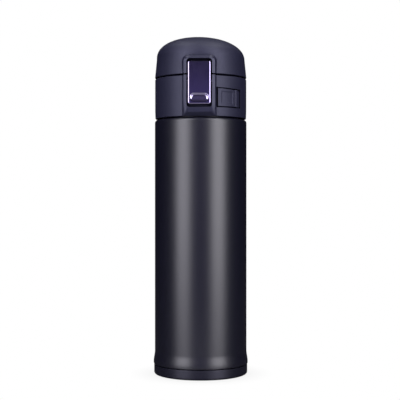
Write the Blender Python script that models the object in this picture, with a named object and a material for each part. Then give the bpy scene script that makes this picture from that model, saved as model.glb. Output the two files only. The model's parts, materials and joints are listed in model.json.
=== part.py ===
"""Vacuum flask with a one-push flip lid, as separate pieces.

Frame: +Z up, origin at the centre of the face that the flask stands on. The release lever faces -Y and
the cap's hinge is at +Y. Sizes are in millimetres, and build_object turns them into metres.

The lid (collar, stopper, mouthpiece, cap, lever and lock) unscrews from the bottle. The cap flips up on the
hinge pin at the back, the lever rocks on its own pin at the front, and the lock slides around the collar.
"""

import math

import bmesh
import bpy
from mathutils import Matrix, Vector

MM = 0.001
TAU = 2 * math.pi

# ---- bottle ----
BODY_RADIUS = 33.0
STEEL_WALL = 0.5
SHOULDER_Z = 184.0
SHOULDER_ROUND = 2.0
FLARE_RADIUS = 33.9
FLARE_Z = 8.8
FLARE_TOP_Z = 17.0
SEAM_Z = 7.1
CUP_RADIUS = 33.55
CUP_ROUND = 2.0
CUP_FLOOR = 1.8
TUCK_RADIUS = 31.4
TUCK_BOTTOM_Z = 2.4
NECK_RADIUS = 24.6
NECK_TOP_Z = 199.6
VESSEL_RADIUS = 28.9
VESSEL_BOTTOM_Z = 13.0
VESSEL_ROUND = 7.0
VESSEL_SHOULDER_Z = 172.0
VESSEL_NECK_Z = 182.0
MOUTH_RADIUS = 22.9
LIP_TOP_Z = 200.5
FOIL_RADIUS = 29.25
FOIL_THICKNESS = 0.15
PUMP_HOLE_RADIUS = 1.2

# ---- thread between the bottle's neck and the stopper's skirt ----
PITCH = 5.0
THREAD_DEPTH = 1.0
THREAD_ROOT_WIDTH = 2.0
THREAD_CREST_WIDTH = 1.0
THREAD_STEPS_PER_TURN = 24
MALE_START_Z = 188.5
MALE_TURNS = 1.25
FEMALE_TURNS = 1.0

# ---- lid ----
SKIRT_OUTER = 27.6
SKIRT_INNER = 25.95
SKIRT_BOTTOM_Z = 185.5
STOPPER_TOP_Z = 203.2
PLUG_RADIUS = 22.3
PLUG_BOTTOM_Z = 194.0
FLOW_RADIUS = 9.0
COLLAR_RADIUS = 32.9
COLLAR_WALL = 2.2
COLLAR_BOTTOM_Z = 184.6
DECK_TOP_Z = 213.3
DECK_THICKNESS = 2.0
SPOUT_HOLE_RADIUS = 16.3
SPOUT_RADIUS = 15.9
SPOUT_BORE = 10.5
SPOUT_TOP_Z = 222.0
CAP_BOTTOM_Z = 214.2
CAP_EDGE_RADIUS = 32.95
CAP_WALL = 1.8
CAP_CROWN_Z = 228.0
CAP_CROWN_RADIUS = 31.6
CAP_TOP_Z = 244.0
CROWN_POWER = 2.2

# ---- raised bezel around the lever ----
OPENING_HALF = 8.67
OPENING_BOTTOM_Z = 190.75
OPENING_TOP_Z = 224.9
BEZEL_FRONT = -34.7
BAY_WALL = -28.9
POCKET_WALL = -27.4
POCKET_BOTTOM_Z = 205.0
CAP_BAY_WALL = -29.3

# ---- lever ----
LEVER_PIN = (-30.3, 209.5)
LEVER_PIN_RADIUS = 0.75
LEVER_FACE = -34.4
LEVER_HALF = 7.95
LEVER_BOTTOM_Z = 192.5
LEVER_TOP_Z = 223.8
PLATE_THICKNESS = 2.0
SCOOP_TOP_Z = 200.5
SCOOP_FOOT_Z = 193.6
SCOOP_DEPTH = 1.15
SCOOP_HALF = 6.2

# ---- hinge ----
HINGE = (32.3, 212.5)
KNUCKLE_RADIUS = 2.4
HINGE_PIN_RADIUS = 1.0
PIVOT_GAP = 0.1
GAP = 0.35

# ---- lock ----
WINDOW_DEGREES = (20.4, 56.8)
WINDOW_Z = (191.3, 204.7)
SLIDER_DEGREES = (21.6, 50.4)
SLIDER_ROOM_RADIUS = 28.6

OUTER_SEGMENTS = 40
INNER_SEGMENTS = 32
SMALL_SEGMENTS = 24
PIN_SEGMENTS = 16


# ---------------------------------------------------------------- materials


def make_material(name, colour, roughness, metallic=0.0):
    material = bpy.data.materials.new(name)
    material.use_nodes = True
    shader = material.node_tree.nodes["Principled BSDF"]
    shader.inputs["Base Color"].default_value = (*colour, 1.0)
    shader.inputs["Roughness"].default_value = roughness
    shader.inputs["Metallic"].default_value = metallic
    material.diffuse_color = (*colour, 1.0)
    return material


# ---------------------------------------------------------------- shapes


def arc(centre_r, centre_z, radius, start, end, steps):
    """Points of an arc in a profile, with its angles in degrees from +r towards +z."""
    points = []
    for i in range(steps + 1):
        angle = math.radians(start + (end - start) * i / steps)
        points.append((centre_r + radius * math.cos(angle), centre_z + radius * math.sin(angle)))
    return points


def face_outwards(mesh):
    bmesh.ops.recalc_face_normals(mesh, faces=mesh.faces)
    if mesh.calc_volume(signed=True) < 0:
        bmesh.ops.reverse_faces(mesh, faces=mesh.faces)


def build_object(name, mesh):
    """Makes an object from a bmesh in millimetres."""
    bmesh.ops.scale(mesh, vec=(MM, MM, MM), verts=mesh.verts)
    face_outwards(mesh)
    data = bpy.data.meshes.new(name)
    mesh.to_mesh(data)
    mesh.free()
    piece = bpy.data.objects.new(name, data)
    bpy.context.scene.collection.objects.link(piece)
    return piece


def lathe(name, profile, segments=OUTER_SEGMENTS):
    """Turns a closed profile of (r, z) points around Z. A profile may start and end on the axis."""
    mesh = bmesh.new()
    rings = []
    for r, z in profile:
        if r == 0:
            rings.append([mesh.verts.new((0, 0, z))] * segments)
            continue
        angles = [TAU * i / segments for i in range(segments)]
        rings.append([mesh.verts.new((r * math.cos(a), r * math.sin(a), z)) for a in angles])
    on_axis = profile[0][0] == 0
    pairs = list(zip(rings, rings[1:]))
    if not on_axis:
        pairs.append((rings[-1], rings[0]))
    for below, above in pairs:
        for i in range(segments):
            j = (i + 1) % segments
            corners = [below[i], below[j], above[j], above[i]]
            mesh.faces.new(list(dict.fromkeys(corners)))
    return build_object(name, mesh)


def loft(name, sections):
    """A solid through closed sections of equally many (x, y, z) points, capped at both ends."""
    mesh = bmesh.new()
    loops = [[mesh.verts.new(point) for point in section] for section in sections]
    count = len(loops[0])
    for first, second in zip(loops, loops[1:]):
        for i in range(count):
            j = (i + 1) % count
            mesh.faces.new((first[i], first[j], second[j], second[i]))
    mesh.faces.new(loops[0])
    mesh.faces.new(loops[-1])
    return build_object(name, mesh)


def box(name, low, high):
    (x0, y0, z0), (x1, y1, z1) = low, high
    corners = [(x0, y0), (x1, y0), (x1, y1), (x0, y1)]
    return loft(name, [[(x, y, z) for x, y in corners] for z in (z0, z1)])


def rod(name, x0, x1, centre, radius, segments=SMALL_SEGMENTS):
    """A round bar along X, around (y, z)."""
    y, z = centre
    angles = [TAU * i / segments for i in range(segments)]
    circle = [(y + radius * math.cos(a), z + radius * math.sin(a)) for a in angles]
    return loft(name, [[(x, cy, cz) for cy, cz in circle] for x in (x0, x1)])


def prism_along_x(name, x0, x1, outline):
    """An outline of (y, z) points, run from x0 to x1."""
    return loft(name, [[(x, y, z) for y, z in outline] for x in (x0, x1)])


def around_collar(radius, degrees, z):
    """A point on a cylinder around Z. Degrees run from the front, -Y, towards +X."""
    angle = math.radians(degrees)
    return (radius * math.sin(angle), -radius * math.cos(angle), z)


def ring_sector(name, radii, degrees, heights, steps=8):
    """A block between two radii, two angles and two heights."""
    (inner, outer), (low, high) = radii, heights
    corners = [(inner, low), (outer, low), (outer, high), (inner, high)]
    sections = []
    for i in range(steps + 1):
        angle = degrees[0] + (degrees[1] - degrees[0]) * i / steps
        sections.append([around_collar(r, angle, z) for r, z in corners])
    return loft(name, sections)


def wire(name, path, radius, sides=6):
    """A round wire along a path of points, its section carried along without twisting."""
    points = [Vector(p) for p in path]
    tangents = []
    for i in range(len(points)):
        before = points[max(i - 1, 0)]
        after = points[min(i + 1, len(points) - 1)]
        tangents.append((after - before).normalized())
    normal = tangents[0].orthogonal().normalized()
    sections = []
    for point, tangent in zip(points, tangents):
        normal = (normal - tangent * normal.dot(tangent)).normalized()
        side = tangent.cross(normal)
        angles = [TAU * k / sides for k in range(sides)]
        sections.append([point + (normal * math.cos(a) + side * math.sin(a)) * radius for a in angles])
    return loft(name, sections)


def helical_ridge(name, wall_radius, crest_radius, start_z, turns):
    """A thread ridge that rises with PITCH, rooted inside its wall, its ends running out into the wall."""
    root_radius = wall_radius - math.copysign(0.25, crest_radius - wall_radius)
    steps = int(THREAD_STEPS_PER_TURN * turns)
    run_out = 3
    sections = []
    for i in range(steps + 1):
        angle = TAU * turns * i / steps
        z = start_z + PITCH * angle / TAU
        height = min(1.0, i / run_out, (steps - i) / run_out)
        crest = wall_radius + (crest_radius - wall_radius) * max(height, 0.05)
        outline = [
            (root_radius, z - THREAD_ROOT_WIDTH / 2),
            (crest, z - THREAD_CREST_WIDTH / 2),
            (crest, z + THREAD_CREST_WIDTH / 2),
            (root_radius, z + THREAD_ROOT_WIDTH / 2),
        ]
        sections.append([(r * math.cos(angle), r * math.sin(angle), height_z) for r, height_z in outline])
    return loft(name, sections)


# ---------------------------------------------------------------- combining shapes


def combine(target, tool, operation):
    """Applies an exact Boolean and removes the tool."""
    modifier = target.modifiers.new(operation.title(), "BOOLEAN")
    modifier.object = tool
    modifier.operation = operation
    modifier.solver = "EXACT"
    result = bpy.data.meshes.new_from_object(target.evaluated_get(bpy.context.evaluated_depsgraph_get()))
    target.modifiers.clear()
    target.data = result
    bpy.data.objects.remove(tool)


def add(target, *tools):
    for tool in tools:
        combine(target, tool, "UNION")


def cut(target, *tools):
    for tool in tools:
        combine(target, tool, "DIFFERENCE")


def finish(piece, material, pivot=None):
    """Gives a piece its name, its material and smooth round faces, and hangs it on its pivot."""
    piece.data.name = piece.name
    piece.data.materials.clear()
    piece.data.materials.append(material)
    piece.data.shade_smooth()
    piece.data.set_sharp_from_angle(angle=math.radians(30))
    if pivot:
        piece.data.transform(Matrix.Translation(-pivot.location))
        piece.parent = pivot
    return piece


def make_pivot(name, location):
    pivot = bpy.data.objects.new(name, None)
    pivot.location = Vector(location) * MM
    pivot.empty_display_size = 0.01
    bpy.context.scene.collection.objects.link(pivot)
    return pivot


# ---------------------------------------------------------------- bottle


def outer_shell():
    """Thin steel skin: tucked into the cup, flared above it, straight, shouldered, with a threaded neck."""
    inside = BODY_RADIUS - STEEL_WALL
    shoulder_r = BODY_RADIUS - SHOULDER_ROUND
    shoulder_z = SHOULDER_Z - SHOULDER_ROUND
    tuck_inside = TUCK_RADIUS - STEEL_WALL
    step_z = SEAM_Z + 0.3
    profile = [
        (NECK_RADIUS, NECK_TOP_Z),
        (NECK_RADIUS, SHOULDER_Z),
        *arc(shoulder_r, shoulder_z, SHOULDER_ROUND, 90, 0, 3),
        (BODY_RADIUS, FLARE_TOP_Z),
        (BODY_RADIUS + 0.35, 13.0),
        (FLARE_RADIUS, FLARE_Z),
        (FLARE_RADIUS - 0.15, 7.9),
        (FLARE_RADIUS - 0.6, step_z),
        (TUCK_RADIUS, step_z),
        (TUCK_RADIUS, TUCK_BOTTOM_Z),
        (tuck_inside, TUCK_BOTTOM_Z),
        (tuck_inside, step_z + STEEL_WALL),
        (FLARE_RADIUS - 0.8, step_z + STEEL_WALL),
        (FLARE_RADIUS - STEEL_WALL, FLARE_Z),
        (inside, FLARE_TOP_Z),
        *arc(shoulder_r, shoulder_z, SHOULDER_ROUND - STEEL_WALL, 0, 90, 2),
        (NECK_RADIUS - STEEL_WALL, SHOULDER_Z - STEEL_WALL),
        (NECK_RADIUS - STEEL_WALL, NECK_TOP_Z),
    ]
    shell = lathe("outer_shell", profile)
    add(shell, helical_ridge("ridge", NECK_RADIUS, NECK_RADIUS + THREAD_DEPTH, MALE_START_Z, MALE_TURNS))
    return shell


def inner_vessel():
    """Steel vessel for the drink, with a lip that covers the top of the outer neck."""
    inside = VESSEL_RADIUS - STEEL_WALL
    neck = MOUTH_RADIUS + STEEL_WALL
    lip_radius = NECK_RADIUS + 0.3
    round_r = VESSEL_RADIUS - VESSEL_ROUND
    round_z = VESSEL_BOTTOM_Z + VESSEL_ROUND
    profile = [
        (0, VESSEL_BOTTOM_Z),
        *arc(round_r, round_z, VESSEL_ROUND, -90, 0, 4),
        (VESSEL_RADIUS, VESSEL_SHOULDER_Z),
        (VESSEL_RADIUS - 1.5, VESSEL_SHOULDER_Z + 3.5),
        (neck, VESSEL_NECK_Z),
        (neck, NECK_TOP_Z + 0.3),
        (lip_radius, NECK_TOP_Z + 0.3),
        (lip_radius, LIP_TOP_Z - 0.2),
        (lip_radius - 0.2, LIP_TOP_Z),
        (MOUTH_RADIUS + 0.3, LIP_TOP_Z),
        (MOUTH_RADIUS, LIP_TOP_Z - 0.3),
        (MOUTH_RADIUS, VESSEL_NECK_Z),
        (inside - 1.5, VESSEL_SHOULDER_Z + 3.3),
        (inside, VESSEL_SHOULDER_Z),
        *arc(round_r, round_z, VESSEL_ROUND - STEEL_WALL, 0, -90, 4),
        (0, VESSEL_BOTTOM_Z + STEEL_WALL),
    ]
    return lathe("inner_vessel", profile, INNER_SEGMENTS)


def copper_foil_wrap():
    outside = FOIL_RADIUS + FOIL_THICKNESS
    bottom_z = VESSEL_BOTTOM_Z + VESSEL_ROUND
    top_z = VESSEL_SHOULDER_Z - 2.0
    profile = [(FOIL_RADIUS, bottom_z), (outside, bottom_z), (outside, top_z), (FOIL_RADIUS, top_z)]
    return lathe("copper_foil_wrap", profile, INNER_SEGMENTS)


def outer_bottom_plate():
    """Pressed plate that closes the shell, with a turned-up rim and a raised centre around the pump hole."""
    rim = TUCK_RADIUS - STEEL_WALL - 0.3
    low_z, top_z = 2.6, 6.4
    dome_z = low_z + 2.0
    profile = [
        (PUMP_HOLE_RADIUS, dome_z),
        (8.0, dome_z),
        (10.0, low_z),
        (rim - 0.6, low_z),
        (rim, low_z + 0.6),
        (rim, top_z),
        (rim - STEEL_WALL, top_z),
        (rim - STEEL_WALL, low_z + 0.8),
        (rim - 0.8, low_z + STEEL_WALL),
        (10.2, low_z + STEEL_WALL),
        (8.2, dome_z + STEEL_WALL),
        (PUMP_HOLE_RADIUS, dome_z + STEEL_WALL),
    ]
    return lathe("outer_bottom_plate", profile, INNER_SEGMENTS)


def vacuum_seal_bead():
    """Glass bead under the pump hole, with a nipple that stands in it."""
    nipple = PUMP_HOLE_RADIUS - GAP
    profile = [(0, 3.0), (1.4, 3.2), (2.3, 3.8), (2.3, 4.25), (nipple, 4.3), (nipple, 5.0), (0, 5.1)]
    return lathe("vacuum_seal_bead", profile, PIN_SEGMENTS)


def getter():
    """Pill that takes up stray gas, clipped under the inner vessel."""
    profile = [(0, 11.2), (3.6, 11.2), (4.0, 11.6), (4.0, 12.6), (0, 12.6)]
    pill = lathe("getter", profile, 20)
    pill.data.transform(Matrix.Translation((0.012, 0, 0)))
    return pill


def base_cup():
    """Cup pressed over the tucked bottom of the shell. The flask stands on its outer ring."""
    inside = TUCK_RADIUS + 0.3
    profile = [
        (0, 0.6),
        (27.5, 0.6),
        (28.1, 0.0),
        *arc(CUP_RADIUS - CUP_ROUND, CUP_ROUND, CUP_ROUND, -90, 0, 3),
        (CUP_RADIUS, SEAM_Z - 0.3),
        (CUP_RADIUS - 0.3, SEAM_Z),
        (inside, SEAM_Z),
        (inside, CUP_FLOOR),
        (0, CUP_FLOOR),
    ]
    return lathe("base_cup", profile)


# ---------------------------------------------------------------- lid


def stopper_body():
    """Threaded skirt, hollow plug and flow tube in one moulding, with a groove for the gasket."""
    groove = PLUG_RADIUS - 1.7
    seat_z = LIP_TOP_Z + 0.7
    profile = [
        (SKIRT_OUTER, STOPPER_TOP_Z),
        (SKIRT_OUTER, SKIRT_BOTTOM_Z),
        (SKIRT_INNER, SKIRT_BOTTOM_Z),
        (SKIRT_INNER, seat_z),
        (PLUG_RADIUS, seat_z),
        (PLUG_RADIUS, 197.8),
        (groove, 197.8),
        (groove, 195.0),
        (PLUG_RADIUS - 0.5, 195.0),
        (PLUG_RADIUS - 0.8, PLUG_BOTTOM_Z),
        (FLOW_RADIUS, PLUG_BOTTOM_Z),
        (FLOW_RADIUS, STOPPER_TOP_Z),
        (FLOW_RADIUS + 1.8, STOPPER_TOP_Z),
        (FLOW_RADIUS + 1.8, PLUG_BOTTOM_Z + 1.8),
        (groove - 1.8, PLUG_BOTTOM_Z + 1.8),
        (groove - 1.8, STOPPER_TOP_Z),
    ]
    body = lathe("stopper_body", profile, INNER_SEGMENTS)
    start_z = MALE_START_Z - PITCH / 2
    add(body, helical_ridge("ridge", SKIRT_INNER, SKIRT_INNER - THREAD_DEPTH, start_z, FEMALE_TURNS))
    return body


def stopper_gasket():
    """Silicone ring in the plug's groove, with two lips that face the vessel's mouth."""
    inside = PLUG_RADIUS - 1.4
    profile = [
        (inside, 195.3),
        (22.0, 195.3),
        (22.6, 195.7),
        (21.9, 196.2),
        (21.9, 196.6),
        (22.6, 197.1),
        (22.0, 197.5),
        (inside, 197.5),
    ]
    return lathe("stopper_gasket", profile, INNER_SEGMENTS)


def mouthpiece():
    """Drinking spout: a flange under the collar's deck and a tapering neck with a rounded rim."""
    flange_z = STOPPER_TOP_Z + 2.1
    profile = [
        (SPOUT_BORE, flange_z),
        (20.0, flange_z),
        (20.0, flange_z + 1.7),
        (SPOUT_RADIUS, flange_z + 1.7),
        (SPOUT_RADIUS, DECK_TOP_Z + 0.4),
        (SPOUT_RADIUS - 0.9, DECK_TOP_Z + 2.4),
        (13.6, SPOUT_TOP_Z - 2.4),
        *arc(12.2, SPOUT_TOP_Z - 0.9, 0.9, 0, 90, 2),
        (11.2, SPOUT_TOP_Z),
        (SPOUT_BORE, SPOUT_TOP_Z - 0.7),
    ]
    return lathe("mouthpiece", profile, INNER_SEGMENTS)


def mouthpiece_gasket():
    low_z = STOPPER_TOP_Z + 0.3
    profile = [(11.2, low_z), (17.6, low_z), (17.6, low_z + 1.5), (11.2, low_z + 1.5)]
    return lathe("mouthpiece_gasket", profile, INNER_SEGMENTS)


def rounded_front(y, half_width, bottom_z, top_z, corner):
    """A section of the bezel at one depth: square below, with round corners at the top."""
    steps = 4
    points = [(-half_width, y, bottom_z), (half_width, y, bottom_z)]
    for side, start in ((1, 0), (-1, 90)):
        for i in range(steps + 1):
            angle = math.radians(start + 90 * i / steps)
            x = side * (half_width - corner) + corner * math.cos(angle)
            points.append((x, y, top_z - corner + corner * math.sin(angle)))
    return points


def bezel_block(name, low_z, high_z):
    """The solid bezel between two heights: walls that lean in and a wide bevel to its front edge."""
    sections = [
        rounded_front(-27.9, 12.2, 184.9, 229.2, 3.7),
        rounded_front(-32.4, 11.32, 185.0, 228.0, 3.6),
        rounded_front(-33.7, 11.05, 187.4, 227.3, 3.5),
        rounded_front(BEZEL_FRONT, OPENING_HALF, OPENING_BOTTOM_Z, OPENING_TOP_Z, 1.2),
    ]
    block = loft(name, sections)
    combine(block, box("slab", (-20, -40, low_z), (20, 0, high_z)), "INTERSECT")
    return block


def knuckle(name, x0, x1, room=0.0):
    """A hinge knuckle, or with room around it the cutter that makes space for one."""
    return rod(name, x0, x1, HINGE, KNUCKLE_RADIUS + room)


def pin_bore(name, centre, pin_radius, half_length):
    """Cutter for a bore along X that a pin turns in."""
    return rod(name, -half_length, half_length, centre, pin_radius + PIVOT_GAP, PIN_SEGMENTS)


def lid_collar():
    """Ring with a deck, the lower half of the bezel, the lever's bay, the lock's window and two knuckles."""
    inside = COLLAR_RADIUS - COLLAR_WALL
    deck_z = DECK_TOP_Z - DECK_THICKNESS
    clamp_z = STOPPER_TOP_Z + 4.2
    profile = [
        (COLLAR_RADIUS - 0.5, COLLAR_BOTTOM_Z),
        (COLLAR_RADIUS - 0.2, COLLAR_BOTTOM_Z + 0.4),
        (COLLAR_RADIUS, COLLAR_BOTTOM_Z + 7.0),
        *arc(COLLAR_RADIUS - 0.6, DECK_TOP_Z - 0.6, 0.6, 0, 90, 2),
        (SPOUT_HOLE_RADIUS, DECK_TOP_Z),
        (SPOUT_HOLE_RADIUS, clamp_z),
        (SPOUT_HOLE_RADIUS + 2.2, clamp_z),
        (SPOUT_HOLE_RADIUS + 2.2, deck_z),
        (inside, deck_z),
        (inside, COLLAR_BOTTOM_Z),
    ]
    collar = lathe("lid_collar", profile)
    pocket_back, pocket_top_z = POCKET_WALL + 1.4, DECK_TOP_Z - 0.5
    pocket_block = box("pocket_block", (-11.5, -32.0, POCKET_BOTTOM_Z), (11.5, pocket_back, pocket_top_z))
    hinge_block = box("hinge_block", (-11.6, 28.0, 208.5), (11.6, 30.9, DECK_TOP_Z - 0.2))
    add(collar, bezel_block("bezel", COLLAR_BOTTOM_Z, DECK_TOP_Z), pocket_block, hinge_block)
    room_degrees = (WINDOW_DEGREES[0], 60)
    room_z = (WINDOW_Z[0] - 1.4, WINDOW_Z[1] + 1.4)
    cut(
        collar,
        box("bay", (-OPENING_HALF, -36, OPENING_BOTTOM_Z), (OPENING_HALF, BAY_WALL, 215)),
        box("pocket", (-OPENING_HALF, -33, POCKET_BOTTOM_Z + 1.2), (OPENING_HALF, POCKET_WALL, 215)),
        ring_sector("window", (SLIDER_ROOM_RADIUS, 36), WINDOW_DEGREES, WINDOW_Z),
        ring_sector("slider_room", (SLIDER_ROOM_RADIUS, inside), room_degrees, room_z),
        box("tongue_slot", (8.4, -30.6, 196.1), (13.0, -27.0, 199.9)),
        pin_bore("lever_bore", LEVER_PIN, LEVER_PIN_RADIUS, 10.1),
        knuckle("cap_knuckle_room", -7.35, 7.35, GAP),
    )
    add(collar, knuckle("left", -11.0, -7.55), knuckle("right", 7.55, 11.0))
    cut(collar, pin_bore("hinge_bore", HINGE, HINGE_PIN_RADIUS, 12))
    return collar


def crown(inset, steps):
    """Profile of the dome from its spring line to its top, moved inwards by inset."""
    radius = CAP_CROWN_RADIUS - inset
    height = CAP_TOP_Z - CAP_CROWN_Z - inset
    points = []
    for i in range(steps + 1):
        angle = math.radians(90 * i / steps)
        r = radius * math.cos(angle) ** (2 / CROWN_POWER)
        z = CAP_CROWN_Z + height * math.sin(angle) ** (2 / CROWN_POWER)
        points.append((r if i < steps else 0, z))
    return points


def cap_shell():
    """Domed cap with the upper half of the bezel, the opening for the lever's top and two knuckles."""
    profile = [
        *reversed(crown(CAP_WALL, 5)),
        (CAP_EDGE_RADIUS - CAP_WALL, CAP_BOTTOM_Z),
        *arc(CAP_EDGE_RADIUS - 0.5, CAP_BOTTOM_Z + 0.5, 0.5, -90, 0, 2),
        *crown(0, 8),
    ]
    cap = lathe("cap_shell", profile)
    starts = (3.4, -7.1)
    width = 3.7
    arms = [box("arm", (x, 30.9, HINGE[1]), (x + width, 33.6, HINGE[1] + 5)) for x in starts]
    knuckles = [knuckle("knuckle", x, x + width) for x in starts]
    add(cap, bezel_block("bezel", CAP_BOTTOM_Z, 232), *arms)
    cut(
        cap,
        box("opening", (-OPENING_HALF, -36, 210), (OPENING_HALF, CAP_BAY_WALL, OPENING_TOP_Z)),
        box("catch_window", (-5.0, -30, 218.4), (5.0, -26, 221.6)),
        knuckle("left_room", -11.3, -7.3, GAP),
        knuckle("right_room", 7.3, 11.3, GAP),
        knuckle("spring_room", -3.2, 3.2, GAP),
    )
    add(cap, *knuckles)
    cut(cap, pin_bore("hinge_bore", HINGE, HINGE_PIN_RADIUS, 12))
    return cap


def cap_liner():
    """Inner lining of the cap: a ring, a disc over it and a socket for the spout seal."""
    disc_z = 225.0
    profile = [
        (2.6, disc_z + 1.2),
        (2.6, disc_z),
        (14.2, disc_z),
        (14.2, disc_z - 2.0),
        (15.4, disc_z - 2.0),
        (15.4, disc_z),
        (27.9, disc_z),
        (28.4, 214.9),
        (29.8, 214.9),
        (29.3, disc_z + 1.2),
    ]
    liner = lathe("cap_liner", profile, INNER_SEGMENTS)
    cut(liner, box("front_room", (-12.8, -31, 214), (12.8, -27.4, 228)))
    return liner


def spout_seal():
    """Silicone seal for the mouthpiece: a disc, a low plug below it and a button through the liner."""
    profile = [
        (0, 221.1),
        (9.0, 221.1),
        (9.4, 221.4),
        (9.4, 222.35),
        (13.8, 222.35),
        (13.8, 224.6),
        (2.2, 224.6),
        (2.2, 226.5),
        (3.4, 226.9),
        (2.6, 228.3),
        (0, 228.6),
    ]
    return lathe("spout_seal", profile, 32)


# ---------------------------------------------------------------- lever and lock


def release_lever():
    """Carrier behind the faceplate: a plate, two bosses on the lever pin and the hook at the top."""
    front = LEVER_FACE + PLATE_THICKNESS + 0.3
    back = front + 1.2
    half = LEVER_HALF - 0.35
    carrier = box("release_lever", (-half, front, LEVER_BOTTOM_Z + 0.8), (half, back, LEVER_TOP_Z - 0.8))
    nose_y = CAP_BAY_WALL - GAP
    hook = [
        (back - 0.5, 217.6),
        (back, 217.6),
        (nose_y, 219.0),
        (nose_y, 220.2),
        (back, 221.2),
        (back - 0.5, 221.2),
    ]
    bosses = [rod("boss", x, x + 4.0, LEVER_PIN, 1.6, 20) for x in (-half, half - 4.0)]
    add(carrier, prism_along_x("hook", -4.5, 4.5, hook), *bosses)
    cut(
        carrier,
        box("spring_room", (-3.0, front - 1, 207.2), (3.0, back + 1, 211.8)),
        pin_bore("pin_bore", LEVER_PIN, LEVER_PIN_RADIUS, 9),
    )
    return carrier


def lever_faceplate():
    """Plated plate with bevelled sides and a finger scoop that is deepest at its top."""
    back = LEVER_FACE + PLATE_THICKNESS
    side_bevel, side_drop, foot_bevel, top_bevel = 1.25, 0.9, 0.5, 0.4
    low, high = LEVER_BOTTOM_Z, LEVER_TOP_Z
    rim = LEVER_FACE + side_drop
    inner = LEVER_HALF - side_bevel
    outline = [(-LEVER_HALF, low), (LEVER_HALF, low), (LEVER_HALF, high), (-LEVER_HALF, high)]
    foot_z, top_z = low + foot_bevel, high - top_bevel
    face = [(-inner, foot_z), (inner, foot_z), (inner, top_z), (-inner, top_z)]
    sections = [[(x, y, z) for x, z in outline] for y in (back, rim)]
    sections.append([(x, LEVER_FACE, z) for x, z in face])
    plate = loft("lever_faceplate", sections)
    front = LEVER_FACE - 1.0
    deep = LEVER_FACE + SCOOP_DEPTH
    scoop = [
        (front, SCOOP_TOP_Z + 0.9),
        (LEVER_FACE, SCOOP_TOP_Z + 0.5),
        (deep, SCOOP_TOP_Z - 0.9),
        (deep - 0.35, SCOOP_TOP_Z - 3.5),
        (LEVER_FACE, SCOOP_FOOT_Z),
        (front, SCOOP_FOOT_Z - 2.6),
    ]
    cut(plate, prism_along_x("scoop", -SCOOP_HALF, SCOOP_HALF, scoop))
    return plate


def lever_pin():
    return rod("lever_pin", -9.8, 9.8, LEVER_PIN, LEVER_PIN_RADIUS, PIN_SEGMENTS)


def coil_path(centre, radius, half_width, turns, start, steps_per_turn):
    """A coil around an X axis at (y, z), from -half_width to half_width, starting at an angle from +Y."""
    steps = int(turns * steps_per_turn)
    points = []
    for i in range(steps + 1):
        angle = start + TAU * turns * i / steps
        x = -half_width + 2 * half_width * i / steps
        points.append((x, centre[0] + radius * math.cos(angle), centre[1] + radius * math.sin(angle)))
    return points


def lever_spring():
    """Torsion spring on the lever pin: one leg down the bay's wall, one down the back of the lever."""
    y, z = LEVER_PIN
    radius = 1.25
    half_width = 1.3
    coil = coil_path(LEVER_PIN, radius, half_width, 3.5, 0, 12)
    wall_leg = [(-half_width, y + 1.0, z - 6.5), (-half_width, y + radius - 0.02, z - 1.2)]
    lever_leg = [
        (half_width, y - radius, z - 1.0),
        (half_width, y - radius + 0.25, z - 1.7),
        (half_width, y - 0.35, z - 2.4),
        (half_width, y - 0.25, z - 8.5),
    ]
    return wire("lever_spring", wall_leg + coil + lever_leg, 0.2)


def hinge_pin():
    return rod("hinge_pin", -10.7, 10.7, HINGE, HINGE_PIN_RADIUS, 20)


def hinge_spring():
    """Torsion spring on the hinge pin: one leg forward over the deck, one up behind the cap's liner."""
    y, z = HINGE
    radius = 1.6
    half_width = 2.5
    coil = coil_path(HINGE, radius, half_width, 4.25, math.radians(90), 14)
    deck_leg = [(-half_width, y - 8.0, z + 1.65), (-half_width, y - 1.0, z + radius)]
    cap_leg = [(half_width, y - radius, z + 1.0), (half_width, y - radius - 0.65, z + 6.5)]
    return wire("hinge_spring", deck_leg + coil + cap_leg, 0.3)


def lock_slider():
    """Curved slider: a plate in the window, a wider flange behind it, a thumb rib and a tongue."""
    plate_z = (WINDOW_Z[0] + 0.6, WINDOW_Z[1] - 0.6)
    flange_z = (WINDOW_Z[0] - 1.0, WINDOW_Z[1] + 1.0)
    face = COLLAR_RADIUS - 0.3
    start, end = SLIDER_DEGREES
    slider = ring_sector("lock_slider", (29.4, face), SLIDER_DEGREES, plate_z)
    flange = ring_sector("flange", (28.9, 30.35), (start, end + 2.1), flange_z)
    rib = ring_sector("rib", (face - 0.5, face + 0.9), (end - 2.9, end - 0.2), plate_z, 2)
    tongue = box("tongue", (8.2, -30.1, 196.5), (11.6, -29.0, 199.5))
    add(slider, flange, rib, tongue)
    return slider


# ---------------------------------------------------------------- assembly


def build_bottle():
    steel = make_material("brushed_steel", (0.60, 0.60, 0.62), 0.3, 1.0)
    finish(outer_shell(), make_material("body_paint", (0.022, 0.022, 0.032), 0.35, 0.3))
    finish(inner_vessel(), steel)
    finish(copper_foil_wrap(), make_material("copper_foil", (0.80, 0.40, 0.25), 0.25, 1.0))
    finish(outer_bottom_plate(), steel)
    finish(vacuum_seal_bead(), make_material("sealing_glass", (0.25, 0.30, 0.35), 0.1))
    finish(getter(), make_material("getter_metal", (0.35, 0.34, 0.33), 0.6, 0.8))
    finish(base_cup(), make_material("base_plastic", (0.024, 0.024, 0.034), 0.4))


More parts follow.
